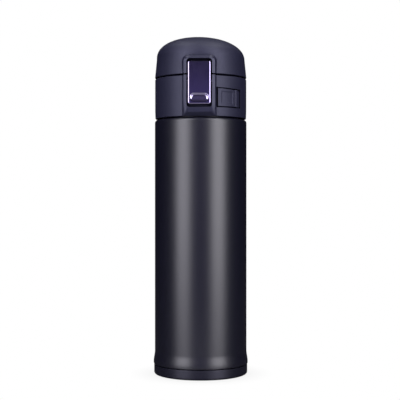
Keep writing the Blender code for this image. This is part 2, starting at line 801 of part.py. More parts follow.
def build_lid():
    lid_axis = make_pivot("lid_axis", (0, 0, 0))
    cap_axis = make_pivot("cap_axis", (0, *HINGE))
    lever_axis = make_pivot("lever_axis", (0, *LEVER_PIN))
    lid_plastic = make_material("lid_plastic", (0.035, 0.034, 0.066), 0.35)
    pale_plastic = make_material("inner_plastic", (0.12, 0.12, 0.14), 0.4)
    silicone = make_material("silicone", (0.55, 0.55, 0.57), 0.6)
    spring_steel = make_material("spring_steel", (0.50, 0.50, 0.52), 0.25, 1.0)
    lever_plastic = make_material("lever_plastic", (0.03, 0.03, 0.05), 0.4)
    plating = make_material("lever_plating", (0.10, 0.085, 0.16), 0.15, 1.0)
    finish(lid_collar(), lid_plastic, lid_axis)
    finish(stopper_body(), pale_plastic, lid_axis)
    finish(stopper_gasket(), silicone, lid_axis)
    finish(mouthpiece(), pale_plastic, lid_axis)
    finish(mouthpiece_gasket(), silicone, lid_axis)
    finish(lock_slider(), lid_plastic, lid_axis)
    finish(cap_shell(), lid_plastic, cap_axis)
    finish(cap_liner(), pale_plastic, cap_axis)
    finish(spout_seal(), silicone, cap_axis)
    finish(hinge_pin(), spring_steel, cap_axis)
    finish(hinge_spring(), spring_steel, cap_axis)
    finish(release_lever(), lever_plastic, lever_axis)
    finish(lever_faceplate(), plating, lever_axis)
    finish(lever_pin(), spring_steel, lever_axis)
    finish(lever_spring(), spring_steel, lever_axis)


def main():
    for old in list(bpy.data.objects):
        bpy.data.objects.remove(old)
    build_bottle()
    build_lid()


main()
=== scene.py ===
"""The looks of the vacuum flask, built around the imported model.

Visible pieces are rebuilt as fine meshes in the places that the frame gives, and every piece gets a
procedural material. The pieces' sizes are in millimetres and the studio's are in metres, all in the frame's
axes: +Z up, the lever faces -Y, the cap's hinge is at +Y.
"""

import json
import math

import bmesh
import bpy
import numpy as np
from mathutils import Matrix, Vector


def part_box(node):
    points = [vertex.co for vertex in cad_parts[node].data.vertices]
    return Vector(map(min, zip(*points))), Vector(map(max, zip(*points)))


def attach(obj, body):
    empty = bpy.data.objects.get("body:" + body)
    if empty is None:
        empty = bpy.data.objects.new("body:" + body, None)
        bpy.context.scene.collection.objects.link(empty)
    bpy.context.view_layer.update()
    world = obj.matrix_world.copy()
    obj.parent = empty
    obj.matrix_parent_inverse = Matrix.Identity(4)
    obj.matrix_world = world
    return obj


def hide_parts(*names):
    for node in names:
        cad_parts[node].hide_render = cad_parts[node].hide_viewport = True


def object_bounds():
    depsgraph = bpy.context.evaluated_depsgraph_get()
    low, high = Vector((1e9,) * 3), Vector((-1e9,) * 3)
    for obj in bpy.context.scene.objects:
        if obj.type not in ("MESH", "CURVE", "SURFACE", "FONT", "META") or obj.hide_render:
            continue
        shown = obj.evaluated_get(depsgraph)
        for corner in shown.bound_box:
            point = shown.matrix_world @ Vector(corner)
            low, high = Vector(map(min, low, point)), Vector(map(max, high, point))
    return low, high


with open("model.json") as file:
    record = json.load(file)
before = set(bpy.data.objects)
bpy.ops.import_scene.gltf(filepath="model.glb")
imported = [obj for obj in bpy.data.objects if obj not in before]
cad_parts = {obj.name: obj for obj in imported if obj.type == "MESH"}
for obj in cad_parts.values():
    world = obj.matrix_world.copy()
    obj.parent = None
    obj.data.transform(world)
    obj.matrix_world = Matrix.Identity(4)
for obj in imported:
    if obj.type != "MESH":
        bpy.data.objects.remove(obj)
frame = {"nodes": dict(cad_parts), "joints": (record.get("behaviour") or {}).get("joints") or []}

CAD_LOW, CAD_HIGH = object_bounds()

MM = 0.001
TAU = 2 * math.pi
SEGMENTS = 192


def span(node):
    """A CAD node's lowest and highest corner in millimetres."""
    low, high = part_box(node)
    return low / MM, high / MM


def joint_place(name):
    """A joint's (y, z) in millimetres."""
    joint = next(j for j in frame["joints"] if j["name"] == name)
    return joint["pos_m"][1] / MM, joint["pos_m"][2] / MM


# ---- sizes from the frame ----
SHELL_LOW, SHELL_HIGH = span("outer_shell")
CUP_HIGH = span("base_cup")[1]
VESSEL_LOW, VESSEL_HIGH = span("inner_vessel")
COLLAR_LOW, COLLAR_HIGH = span("lid_collar")
CAP_HIGH = span("cap_shell")[1]
SPOUT_LOW, SPOUT_HIGH = span("mouthpiece")
LINER_LOW, LINER_HIGH = span("cap_liner")
SEAL_LOW, SEAL_HIGH = span("spout_seal")
PLATE_LOW, PLATE_HIGH = span("lever_faceplate")
CARRIER_LOW, CARRIER_HIGH = span("release_lever")
SLIDER_LOW, SLIDER_HIGH = span("lock_slider")
HINGE_PIN_LOW, HINGE_PIN_HIGH = span("hinge_pin")
LEVER_PIN_LOW, LEVER_PIN_HIGH = span("lever_pin")
HINGE = joint_place("cap_flip")
LEVER_PIN = joint_place("lever_press")

# ---- bottle ----
STEEL_WALL = 0.5
FLARE_RADIUS = SHELL_HIGH.x + 0.3
CUP_RADIUS = CUP_HIGH.x + 0.3
BODY_RADIUS = FLARE_RADIUS - 0.9
SHOULDER_Z = SHELL_HIGH.z - 15.75
NECK_RADIUS = 24.6
SEAM_Z = CUP_HIGH.z
THREAD_PITCH = 5.0
THREAD_TURNS = 1.25
THREAD_RUN_OUT = 0.12
THREAD_START_Z = SHOULDER_Z + 4.5

# ---- lid ----
COLLAR_RADIUS = COLLAR_HIGH.x + 0.25
COLLAR_INSIDE = COLLAR_RADIUS - 2.2
COLLAR_BOTTOM = COLLAR_LOW.z
DECK_TOP = COLLAR_BOTTOM + 28.7
DECK_BOTTOM = DECK_TOP - 2.0
CAP_BOTTOM = DECK_TOP + 0.9
CAP_RADIUS = CAP_HIGH.x + 0.3
CAP_TOP = CAP_HIGH.z - 0.2
CAP_WALL = 1.8
CROWN_Z = CAP_TOP - 16.0
CROWN_RADIUS = CAP_RADIUS - 1.35
CROWN_POWER = 2.15
LEAN_Z = 227.0
LEAN = 0.138
LEAN_EASE = 4.0
MOULDED_EDGE = 0.22
FINE_EDGE = 0.15

# ---- bezel ----
BEZEL_FRONT = COLLAR_LOW.y
OPENING_HALF = PLATE_HIGH.x + 0.9
OPENING_BOTTOM = PLATE_LOW.z - 1.75
OPENING_TOP = PLATE_HIGH.z + 0.8
BEZEL_HALF = OPENING_HALF + 2.15
BEZEL_ROOT = -27.9
BEVEL_DEPTH = 1.0
CHIN_TOP = OPENING_BOTTOM - 3.35
BAY_WALL = -28.9
POCKET_WALL = -27.4
POCKET_BOTTOM = 205.0
CAP_BAY_WALL = -29.3
ABOVE_DECK = 220.0

# ---- hinge and pins ----
HINGE_PIN_RADIUS = HINGE_PIN_HIGH.z - HINGE[1]
LEVER_PIN_RADIUS = LEVER_PIN_HIGH.z - LEVER_PIN[1]
BORE_PLAY = 0.1
BORE_EDGE_RADIUS = 1.7
KNUCKLE_RADIUS = 2.4
PIVOT_ROOM = 0.35
CAP_KNUCKLE = (3.4, 7.1)
COLLAR_KNUCKLE = (7.55, 11.0)

# ---- lock, with angles from the front ----
WINDOW_DEGREES = (20.9, 60.1)
WINDOW_Z = (SLIDER_LOW.z + 0.7, SLIDER_HIGH.z - 0.7)
WINDOW_FALL = 0.022
SLIDER_DEGREES = (23.0, 53.9)
SHELF_RADIUS = COLLAR_RADIUS - 0.8
WINDOW_BACK = 28.6
BEYOND_COLLAR = 36.0
TONGUE_Z = 198.0
TONGUE_HALF = 1.5
TONGUE_ROOM = 0.4

# ---- studio, in metres ----
FLOOR_HALF = 6.0
FLOOR_GAP = 0.0002
PALE_PATCH = (0, -0.14, 0)
PALE_PATCH_RADII = (0.05, 0.11)
PALE_PATCH_GREYS = (0.45, 0.03)


# ======== mesh tools


def new_object(name, data):
    """An object in the scene with some data."""
    made = bpy.data.objects.new(name, data)
    bpy.context.scene.collection.objects.link(made)
    return made


def object_from(name, mesh):
    """An object from a bmesh in millimetres, its faces turned outwards."""
    bmesh.ops.scale(mesh, vec=(MM, MM, MM), verts=mesh.verts)
    bmesh.ops.recalc_face_normals(mesh, faces=mesh.faces)
    if mesh.calc_volume(signed=True) < 0:
        bmesh.ops.reverse_faces(mesh, faces=mesh.faces)
    data = bpy.data.meshes.new(name)
    mesh.to_mesh(data)
    mesh.free()
    return new_object(name, data)


def fillet(corners, steps=5):
    """Points of an outline whose corners (a, b, radius) are rounded by arcs. The ends stay as they are."""
    points = []
    count = len(corners)
    for i, (a, b, radius) in enumerate(corners):
        here = Vector((a, b))
        if radius == 0 or i in (0, count - 1):
            points.append((a, b))
            continue
        to_last = (Vector(corners[i - 1][:2]) - here).normalized()
        to_next = (Vector(corners[i + 1][:2]) - here).normalized()
        half = to_last.angle(to_next) / 2
        reach = radius / math.tan(half)
        centre = here + (to_last + to_next).normalized() * (radius / math.sin(half))
        start = here + to_last * reach - centre
        turn = start.angle_signed(here + to_next * reach - centre)
        for k in range(steps + 1):
            # angle_signed is clockwise, so the turn is taken backwards
            angle = -turn * k / steps
            cos, sin = math.cos(angle), math.sin(angle)
            spoke = (start.x * cos - start.y * sin, start.x * sin + start.y * cos)
            points.append((centre.x + spoke[0], centre.y + spoke[1]))
    return points


def lathe(name, profile, segments=SEGMENTS, relief=None):
    """Turns a closed profile of (r, z) points around Z. relief(angle, r, z) is added to the radius."""
    mesh = bmesh.new()
    rings = []
    for r, z in profile:
        if r == 0:
            rings.append([mesh.verts.new((0, 0, z))] * segments)
            continue
        ring = []
        for i in range(segments):
            angle = TAU * i / segments
            radius = r + (relief(angle, r, z) if relief else 0)
            ring.append(mesh.verts.new((radius * math.cos(angle), radius * math.sin(angle), z)))
        rings.append(ring)
    pairs = list(zip(rings, rings[1:]))
    if profile[0][0] != 0:
        pairs.append((rings[-1], rings[0]))
    for below, above in pairs:
        for i in range(segments):
            j = (i + 1) % segments
            corners = (below[i], below[j], above[j], above[i])
            mesh.faces.new(list(dict.fromkeys(corners)))
    return object_from(name, mesh)


def loft(name, sections):
    """A solid through closed sections of equally many points, capped at both ends."""
    mesh = bmesh.new()
    loops = [[mesh.verts.new(point) for point in section] for section in sections]
    count = len(loops[0])
    for first, second in zip(loops, loops[1:]):
        for i in range(count):
            j = (i + 1) % count
            mesh.faces.new((first[i], first[j], second[j], second[i]))
    mesh.faces.new(loops[0])
    mesh.faces.new(loops[-1])
    return object_from(name, mesh)


def slab(name, us, vs, front, back):
    """A closed slab over a grid. front(u, v) and back(u, v) give the points of its two sides."""
    mesh = bmesh.new()
    sides = [[[mesh.verts.new(place(u, v)) for v in vs] for u in us] for place in (front, back)]
    for grid in sides:
        for i in range(len(us) - 1):
            for j in range(len(vs) - 1):
                mesh.faces.new((grid[i][j], grid[i + 1][j], grid[i + 1][j + 1], grid[i][j + 1]))
    rim = [(i, 0) for i in range(len(us) - 1)]
    rim += [(len(us) - 1, j) for j in range(len(vs) - 1)]
    rim += [(i, len(vs) - 1) for i in range(len(us) - 1, 0, -1)]
    rim += [(0, j) for j in range(len(vs) - 1, 0, -1)]
    for (a, b), (c, d) in zip(rim, rim[1:] + rim[:1]):
        mesh.faces.new((sides[0][a][b], sides[0][c][d], sides[1][c][d], sides[1][a][b]))
    return object_from(name, mesh)


def box(name, low, high):
    """A block between two corners."""
    (x0, y0, z0), (x1, y1, z1) = low, high
    corners = [(x0, y0), (x1, y0), (x1, y1), (x0, y1)]
    return loft(name, [[(x, y, z) for x, y in corners] for z in (z0, z1)])


def rod(name, x0, x1, centre, radius, segments=48, round_end=0.0):
    """A round bar along X around (y, z), with its ends rounded."""
    y, z = centre
    ends = [(x0, radius), (x1, radius)]
    if round_end:
        first = [(x0, radius - round_end), (x0 + round_end, radius)]
        last = [(x1 - round_end, radius), (x1, radius - round_end)]
        ends = first + last
    angles = [TAU * i / segments for i in range(segments)]
    sections = [[(x, y + r * math.cos(a), z + r * math.sin(a)) for a in angles] for x, r in ends]
    return loft(name, sections)


def prism_along_x(name, x0, x1, outline):
    """A solid with the same (y, z) outline from x0 to x1."""
    return loft(name, [[(x, y, z) for y, z in outline] for x in (x0, x1)])


def around_collar(radius, degrees, z):
    """A point on a cylinder around Z. Degrees run from the front, -Y, towards +X."""
    angle = math.radians(degrees)
    return (radius * math.sin(angle), -radius * math.cos(angle), z)


def ring_sector(name, radii, degrees, heights, fall=0.0, steps=24):
    """A block between two radii, two angles and two heights. Its top comes down by fall for each degree."""
    sections = []
    for i in range(steps + 1):
        angle = degrees[0] + (degrees[1] - degrees[0]) * i / steps
        high_z = heights[1] - fall * (angle - degrees[0])
        corners = [(radii[0], heights[0]), (radii[1], heights[0]), (radii[1], high_z), (radii[0], high_z)]
        sections.append([around_collar(r, angle, z) for r, z in corners])
    return loft(name, sections)


def tube(name, path, radius, sides=12):
    """A round wire along a path of points, its section carried along without twisting."""
    points = [Vector(p) for p in path]
    last = len(points) - 1
    tangents = [(points[min(i + 1, last)] - points[max(i - 1, 0)]).normalized() for i in range(last + 1)]
    normal = tangents[0].orthogonal().normalized()
    sections = []
    for point, tangent in zip(points, tangents):
        normal = (normal - tangent * normal.dot(tangent)).normalized()
        side = tangent.cross(normal)
        angles = [TAU * k / sides for k in range(sides)]
        sections.append([point + (normal * math.cos(a) + side * math.sin(a)) * radius for a in angles])
    return loft(name, sections)


def combine(target, tool, operation):
    """Applies an exact Boolean and removes the tool."""
    modifier = target.modifiers.new(operation.title(), "BOOLEAN")
    modifier.object = tool
    modifier.operation = operation
    modifier.solver = "EXACT"
    result = bpy.data.meshes.new_from_object(target.evaluated_get(bpy.context.evaluated_depsgraph_get()))
    target.modifiers.clear()
    target.data = result
    bpy.data.objects.remove(tool)


def add(target, *tools):
    """Joins solids to a piece."""
    for tool in tools:
        combine(target, tool, "UNION")


def cut(target, *tools):
    """Cuts solids out of a piece."""
    for tool in tools:
        combine(target, tool, "DIFFERENCE")


def soften(piece, width, min_angle, where=None):
    """Rounds the piece's sharp outer edges, or those for which where(edge centre in millimetres) holds."""
    mesh = bmesh.new()
    mesh.from_mesh(piece.data)
    sharp = []
    for edge in mesh.edges:
        if not edge.is_manifold or not edge.is_convex:
            continue
        if edge.calc_face_angle(0.0) < math.radians(min_angle):
            continue
        centre = (edge.verts[0].co + edge.verts[1].co) / 2 / MM
        if where is None or where(centre):
            sharp.append(edge)
    bmesh.ops.bevel(mesh, geom=sharp, offset=width * MM, segments=2, profile=0.5, affect="EDGES")
    mesh.to_mesh(piece.data)
    mesh.free()


def shade(piece, angle=35.0):
    """Smooth faces with sharp edges kept, and normals weighted by face size."""
    piece.data.shade_smooth()
    piece.data.set_sharp_from_angle(angle=math.radians(angle))
    weighted = piece.modifiers.new("weighted_normals", "WEIGHTED_NORMAL")
    weighted.keep_sharp = True


def show(piece, material, body, slot, *nodes):
    """Finishes a new piece: material, shading, the body that it rides on and the nodes that it stands for."""
    piece.data.materials.clear()
    piece.data.materials.append(material)
    shade(piece)
    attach(piece, body)
    if nodes:
        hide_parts(*nodes)


# ======== materials


class Shader:
    """A material with a Principled shader, and short calls that add nodes to it."""

    def __init__(self, name, metallic=0.0):
        self.material = bpy.data.materials.new(name)
        self.material.use_nodes = True
        self.tree = self.material.node_tree
        self.surface = self.tree.nodes["Principled BSDF"]
        self.set("Metallic", metallic)
        self.place = self.node("ShaderNodeTexCoord").outputs["Object"]

    def set(self, socket, value):
        self.surface.inputs[socket].default_value = value

    def node(self, kind, values=None, **settings):
        """A new node with its settings, and with values put in its sockets."""
        made = self.tree.nodes.new(kind)
        for key, value in settings.items():
            setattr(made, key, value)
        for socket, value in (values or {}).items():
            made.inputs[socket].default_value = value
        return made

    def link(self, output, target):
        self.tree.links.new(output, target)

    def stretched(self, scale):
        """Object coordinates in metres times a scale for each axis."""
        mapping = self.node("ShaderNodeMapping", {"Scale": scale})
        self.link(self.place, mapping.inputs["Vector"])
        return mapping.outputs["Vector"]

    def noise(self, scale, detail=2.0, vector=None):
        texture = self.node("ShaderNodeTexNoise", {"Scale": scale, "Detail": detail})
        self.link(vector or self.place, texture.inputs["Vector"])
        return texture.outputs["Fac"]

    def cells(self, scale, output="Color"):
        texture = self.node("ShaderNodeTexVoronoi", {"Scale": scale})
        self.link(self.place, texture.inputs["Vector"])
        return texture.outputs[output]

    def colour(self, value, low, high, start=0.3, end=0.7):
        """Colours the surface between two colours as a value goes from start to end."""
        ramp = self.node("ShaderNodeValToRGB")
        ramp.color_ramp.elements[0].position = start
        ramp.color_ramp.elements[0].color = (*low, 1.0)
        ramp.color_ramp.elements[1].position = end
        ramp.color_ramp.elements[1].color = (*high, 1.0)
        self.link(value, ramp.inputs["Fac"])
        self.set("Base Color", (*((a + b) / 2 for a, b in zip(low, high)), 1.0))
        self.link(ramp.outputs["Color"], self.surface.inputs["Base Color"])

    def range(self, value, to_low, to_high, from_low=0.0, from_high=1.0):
        """Maps a value from one range to another, and holds it at the ends."""
        ends = {"From Min": from_low, "From Max": from_high, "To Min": to_low, "To Max": to_high}
        mapped = self.node("ShaderNodeMapRange", ends)
        self.link(value, mapped.inputs["Value"])
        return mapped.outputs["Result"]

    def bump(self, height, distance, strength):
        """Adds relief. distance is in millimetres."""
        bump = self.node("ShaderNodeBump", {"Distance": distance * MM, "Strength": strength})
        self.link(height, bump.inputs["Height"])
        if self.surface.inputs["Normal"].links:
            self.link(self.surface.inputs["Normal"].links[0].from_socket, bump.inputs["Normal"])
        self.link(bump.outputs["Normal"], self.surface.inputs["Normal"])

    def roughness(self, value, low, high):
        """Spreads the roughness between two amounts by a value from 0 to 1."""
        self.link(self.range(value, low, high), self.surface.inputs["Roughness"])

    def paint_crease_shade(self, reach, gloss):
        """Paints shade: takes colour and gloss away where other surfaces close in within reach millimetres.
        """
        # painted shade: ambient occlusion scales down the base colour and the specular level
        open_sky = self.node("ShaderNodeAmbientOcclusion", {"Distance": reach * MM}, samples=8)
        openness = self.range(open_sky.outputs["AO"], 0.0, 1.0, 0.25, 0.85)
        self.link(self.range(openness, 0.0, gloss), self.surface.inputs["Specular IOR Level"])
        colour = self.surface.inputs["Base Color"]
        dimmed = self.node("ShaderNodeMix", {"Factor": 1.0}, data_type="RGBA", blend_type="MULTIPLY")
        self.link(colour.links[0].from_socket, dimmed.inputs["A"])
        self.link(openness, dimmed.inputs["B"])
        self.link(dimmed.outputs["Result"], colour)


def body_paint():
    """Satin charcoal paint with fine flakes and a faint orange peel."""
    paint = Shader("body_paint")
    paint.colour(paint.cells(2600), (0.001, 0.001, 0.004), (0.002, 0.002, 0.008), 0.1, 0.9)
    paint.roughness(paint.noise(900, 3), 0.33, 0.39)
    paint.bump(paint.noise(1400), 0.01, 0.25)
    paint.bump(paint.noise(120, 1), 0.03, 0.15)
    return paint.material


def base_plastic():
    """The cup's plastic: a little darker than the paint, with a fine moulded grain."""
    plastic = Shader("base_plastic")
    plastic.set("Specular IOR Level", 0.30)
    plastic.set("Specular Tint", (1.0, 1.0, 1.2, 1.0))
    plastic.colour(plastic.noise(300, 3), (0.0025, 0.0025, 0.006), (0.0035, 0.0035, 0.008))
    plastic.roughness(plastic.noise(700), 0.37, 0.45)
    plastic.bump(plastic.noise(3200), 0.008, 0.3)
    return plastic.material


def lid_plastic():
    """Satin navy plastic with a fine spark-eroded grain, a little smoother on the bezel, with painted shade
    in its creases.
    """
    plastic = Shader("lid_plastic")
    plastic.set("Specular Tint", (1.07, 1.09, 1.38, 1.0))
    plastic.colour(plastic.noise(90, 4), (0.0037, 0.0037, 0.0125), (0.0045, 0.0045, 0.0145))
    # painted shade: colour and gloss are taken away in creases, seams and recesses
    plastic.paint_crease_shade(3.0, 0.32)
    plastic.roughness(plastic.noise(500, 3), 0.50, 0.60)
    place = plastic.node("ShaderNodeSeparateXYZ")
    plastic.link(plastic.place, place.inputs["Vector"])
    bezel_starts, bezel_ends = (-COLLAR_RADIUS - 0.1) * MM, (-COLLAR_RADIUS - 0.4) * MM
    smoother = plastic.range(place.outputs["Y"], 0.0, -0.08, bezel_starts, bezel_ends)
    finish = plastic.node("ShaderNodeMath", operation="ADD")
    roughness = plastic.surface.inputs["Roughness"]
    plastic.link(roughness.links[0].from_socket, finish.inputs[0])
    plastic.link(smoother, finish.inputs[1])
    plastic.link(finish.outputs["Value"], roughness)
    plastic.bump(plastic.noise(2600), 0.008, 0.25)
    return plastic.material


def inner_plastic():
    """Smooth dark grey plastic of the parts that touch the drink."""
    plastic = Shader("inner_plastic")
    plastic.colour(plastic.noise(120, 3), (0.050, 0.050, 0.060), (0.062, 0.062, 0.072))
    plastic.roughness(plastic.noise(600), 0.28, 0.40)
    plastic.bump(plastic.noise(1800), 0.006, 0.2)
    return plastic.material


def lever_plastic():
    """Dark satin plastic of the lever's carrier."""
    plastic = Shader("lever_plastic")
    plastic.colour(plastic.noise(200, 3), (0.016, 0.016, 0.025), (0.024, 0.024, 0.035))
    plastic.roughness(plastic.noise(600), 0.36, 0.48)
    plastic.bump(plastic.noise(2400), 0.006, 0.25)
    return plastic.material


def lever_plating():
    """Dark violet plating: a metal mirror softened by very fine polishing lines and specks."""
    metal = Shader("lever_plating", metallic=1.0)
    metal.colour(metal.noise(160, 3), (0.24, 0.215, 0.325), (0.26, 0.235, 0.355))
    lines = metal.noise(1.0, 3, metal.stretched((2500, 300, 120)))
    metal.roughness(lines, 0.12, 0.22)
    metal.bump(lines, 0.002, 0.2)
    metal.bump(metal.noise(1500), 0.004, 0.15)
    return metal.material


def silicone():
    """Pale translucent silicone with a dusty, slightly uneven surface."""
    rubber = Shader("silicone_seal")
    rubber.set("Subsurface Weight", 0.25)
    rubber.set("Subsurface Scale", 0.002)
    rubber.colour(rubber.noise(250, 4), (0.20, 0.20, 0.215), (0.26, 0.26, 0.275))
    rubber.roughness(rubber.noise(800), 0.48, 0.65)
    rubber.bump(rubber.noise(1500, 3), 0.01, 0.3)
    return rubber.material


def vessel_steel():
    """Stainless steel with polishing lines around the axis."""
    steel = Shader("vessel_steel", metallic=1.0)
    lines = steel.noise(1.0, 4, steel.stretched((30, 30, 2600)))
    steel.colour(lines, (0.52, 0.52, 0.53), (0.66, 0.66, 0.67))
    steel.roughness(lines, 0.2, 0.36)
    steel.bump(lines, 0.004, 0.3)
    return steel.material


def spring_steel():
    """Drawn wire and ground pins, with fine lines along X."""
    steel = Shader("spring_steel", metallic=1.0)
    lines = steel.noise(1.0, 3, steel.stretched((200, 2500, 2500)))
    steel.colour(lines, (0.42, 0.42, 0.44), (0.58, 0.58, 0.60))
    steel.roughness(lines, 0.18, 0.34)
    steel.bump(lines, 0.003, 0.25)
    return steel.material


def copper_foil():
    """Thin foil with crinkles."""
    foil = Shader("copper_foil", metallic=1.0)
    foil.colour(foil.noise(60, 4), (0.70, 0.34, 0.21), (0.86, 0.48, 0.32))
    foil.roughness(foil.noise(400), 0.2, 0.4)
    foil.bump(foil.cells(140, "Distance"), 0.15, 0.5)
    return foil.material


def getter_metal():
    """Dull sintered metal."""
    pill = Shader("getter_metal", metallic=0.8)
    pill.set("Roughness", 0.7)
    pill.colour(pill.noise(900, 4), (0.20, 0.19, 0.18), (0.36, 0.35, 0.34))
    pill.bump(pill.cells(1500, "Distance"), 0.05, 0.6)
    return pill.material


def sealing_glass():
    """Fused glass, half clear."""
    bead = Shader("sealing_glass")
    bead.set("Roughness", 0.12)
    bead.set("Transmission Weight", 0.5)
    bead.colour(bead.noise(800, 3), (0.18, 0.23, 0.27), (0.26, 0.32, 0.36))
    bead.bump(bead.noise(700), 0.02, 0.3)
    return bead.material


# ======== bottle pieces


def smooth_step(t):
    """Goes smoothly from 0 to 1 while t does, and stays there outside."""
    t = min(max(t, 0.0), 1.0)
    return t * t * (3 - 2 * t)


def thread_relief(angle, r, z):
    """Height of the neck's thread at a point: a rounded ridge that climbs one pitch a turn and runs out."""
    if abs(r - NECK_RADIUS) > 0.05:
        return 0.0
    height = 0.0
    for turn in (0, 1):
        turns = angle / TAU + turn
        if 0 <= turns <= THREAD_TURNS:
            away = abs(z - THREAD_START_Z - THREAD_PITCH * turns)
            run_out = min(1.0, turns / THREAD_RUN_OUT, (THREAD_TURNS - turns) / THREAD_RUN_OUT)
            height = max(height, smooth_step((1.1 - away) / 0.6) * smooth_step(run_out))
    return height


def body_shell():
    """The painted steel skin: shoulder, straight wall, flare over the base cup, and the threaded neck."""
    flare_top = SEAM_Z + 9.9
    flare_z = SEAM_Z + 1.9
    flare = []
    steps = 20
    for i in range(steps + 1):
        t = i / steps
        radius = BODY_RADIUS + (FLARE_RADIUS - BODY_RADIUS) * smooth_step(t)
        flare.append((radius, flare_top + (flare_z - flare_top) * t))
    neck = [(NECK_RADIUS, z) for z in np.linspace(SHELL_HIGH.z - 0.4, SHOULDER_Z + 1.2, 60)]
    shoulder_corners = [
        (NECK_RADIUS, SHOULDER_Z + 1.2, 0),
        (NECK_RADIUS, SHOULDER_Z, 0.8),
        (BODY_RADIUS, SHOULDER_Z, 2.0),
        (BODY_RADIUS, SHOULDER_Z - 6, 0),
    ]
    shoulder = fillet(shoulder_corners, 8)
    tuck_radius = CUP_HIGH.x - 2.15
    foot_corners = [
        (FLARE_RADIUS, flare_z, 0),
        (FLARE_RADIUS, SEAM_Z + 0.45, 0.7),
        (tuck_radius, SEAM_Z + 0.45, 0),
    ]
    foot = fillet(foot_corners, 6)
    inside = BODY_RADIUS - STEEL_WALL
    inner = [
        (tuck_radius, SHELL_LOW.z),
        (tuck_radius - STEEL_WALL, SHELL_LOW.z),
        (tuck_radius - STEEL_WALL, SEAM_Z + 1.0),
        (FLARE_RADIUS - 0.7, SEAM_Z + 1.0),
        (inside, flare_top),
        (inside, SHOULDER_Z - 2.0),
        (inside - 1.5, SHOULDER_Z - STEEL_WALL),
        (NECK_RADIUS - STEEL_WALL, SHOULDER_Z - STEEL_WALL),
        (NECK_RADIUS - STEEL_WALL, SHELL_HIGH.z),
        (NECK_RADIUS - 0.1, SHELL_HIGH.z),
    ]
    profile = neck + shoulder[1:] + flare + foot[1:] + inner
    return lathe("body_shell", profile, relief=thread_relief)


def base_cup():
    """Plastic cup that stands on a flat ring and ends at the seam."""
    floor_z = 1.8
    inside = CUP_HIGH.x - 1.85
    ring = CUP_HIGH.x - 5.4
    corners = [
        (0, 0.6, 0),
        (ring - 0.6, 0.6, 0.3),
        (ring, 0.0, 0.3),
        (CUP_RADIUS, 0.0, 1.7),
        (CUP_RADIUS, SEAM_Z, 0.35),
        (inside, SEAM_Z, 0.1),
        (inside, floor_z, 0.5),
        (0, floor_z, 0),
    ]
    return lathe("base_cup_skin", fillet(corners, 8))


def vessel():
    """Inner steel vessel with a rolled lip at the mouth."""
    outside = VESSEL_HIGH.x
    inside = outside - STEEL_WALL
    mouth = NECK_RADIUS - 1.7
    neck = mouth + STEEL_WALL
    lip = NECK_RADIUS + 0.3
    lip_z = VESSEL_HIGH.z
    cone_z = lip_z - 28.5
    neck_z = lip_z - 18.5
    bottom = VESSEL_LOW.z
    corners = [
        (0, bottom, 0),
        (outside, bottom, 7.0),
        (outside, cone_z, 6.0),
        (neck, neck_z, 3.0),
        (neck, lip_z - 0.6, 0.1),
        (lip, lip_z - 0.6, 0.1),
        (lip, lip_z, 0.25),
        (mouth, lip_z, 0.3),
        (mouth, neck_z, 3.0),
        (inside, cone_z, 6.0),
        (inside, bottom + STEEL_WALL, 6.5),
        (0, bottom + STEEL_WALL, 0),
    ]
    return lathe("vessel", fillet(corners, 8), 96)


# ======== lid pieces


def rounded_front(y, half_width, bottom_z, top_z, top_corner, bottom_corner, steps=12):
    """A section of the bezel at one depth: a rectangle with one corner radius above and another below."""
    points = []
    centres = [
        (half_width - top_corner, top_z - top_corner, top_corner, 0),
        (top_corner - half_width, top_z - top_corner, top_corner, 90),
        (bottom_corner - half_width, bottom_z + bottom_corner, bottom_corner, 180),
        (half_width - bottom_corner, bottom_z + bottom_corner, bottom_corner, 270),
    ]
    for x, z, radius, start in centres:
        for i in range(steps + 1):
            angle = math.radians(start + 90 * i / steps)
            points.append((x + radius * math.cos(angle), y, z + radius * math.sin(angle)))
    return points


def bezel_block(name, from_z, to_z):
    """The part of the solid bezel between two heights: walls that lean in, and a bevel to its front edge."""
    land = 0.25
    low_z = COLLAR_BOTTOM + 0.3
    chin_blend, chin_forward = 3.0, 0.6
    root = rounded_front(BEZEL_ROOT, BEZEL_HALF + 1.9, low_z, OPENING_TOP + 4.3, 5.6, 0.4)
    wall = rounded_front(BEZEL_FRONT + 3.0, BEZEL_HALF + 0.75, low_z + 0.1, OPENING_TOP + 2.9, 4.9, 0.6)
    frame_line = rounded_front(BEZEL_FRONT + BEVEL_DEPTH, BEZEL_HALF, CHIN_TOP, OPENING_TOP + 2.0, 4.4, 3.0)
    bevel = []
    for x, y, z in frame_line:
        near_chin = smooth_step((CHIN_TOP + chin_blend - z) / chin_blend)
        bevel.append((x, y - chin_forward * near_chin, z))
    face_low, face_high = OPENING_BOTTOM - land, OPENING_TOP + land
    face = rounded_front(BEZEL_FRONT, OPENING_HALF + land, face_low, face_high, 2.4, 2.0)
    block = loft(name, [root, wall, bevel, face])
    beside, before = 20, -40
    combine(block, box("slice", (-beside, before, from_z), (beside, 0, to_z)), "INTERSECT")
    return block


def opening(name, back_y, low_z, high_z):
    """Cutter for the lever's opening, with round corners."""
    depths = (BEZEL_FRONT - 2, back_y)
    return loft(name, [rounded_front(y, OPENING_HALF, low_z, high_z, 2.2, 1.8, 8) for y in depths])


def knuckle(name, x0, x1, room=0.0):
    """A barrel on the hinge's axis, or the room that one turns in."""
    return rod(name, x0, x1, HINGE, KNUCKLE_RADIUS + room, 64)


def knuckle_pair(near, far, room=0.0):
    """Two barrels, each from near to far on its side of the middle."""
    return knuckle("left", -far, -near, room), knuckle("right", near, far, room)


def pin_bore(name, centre, pin_radius, half_length):
    """Cutter for a pin's bore, with play around the pin."""
    return rod(name, -half_length, half_length, centre, pin_radius + BORE_PLAY, 32)


def off_hinge_bore(point):
    """Is a point, in millimetres, clear of the hinge pin's bore?"""
    return math.hypot(point.y - HINGE[0], point.z - HINGE[1]) > BORE_EDGE_RADIUS


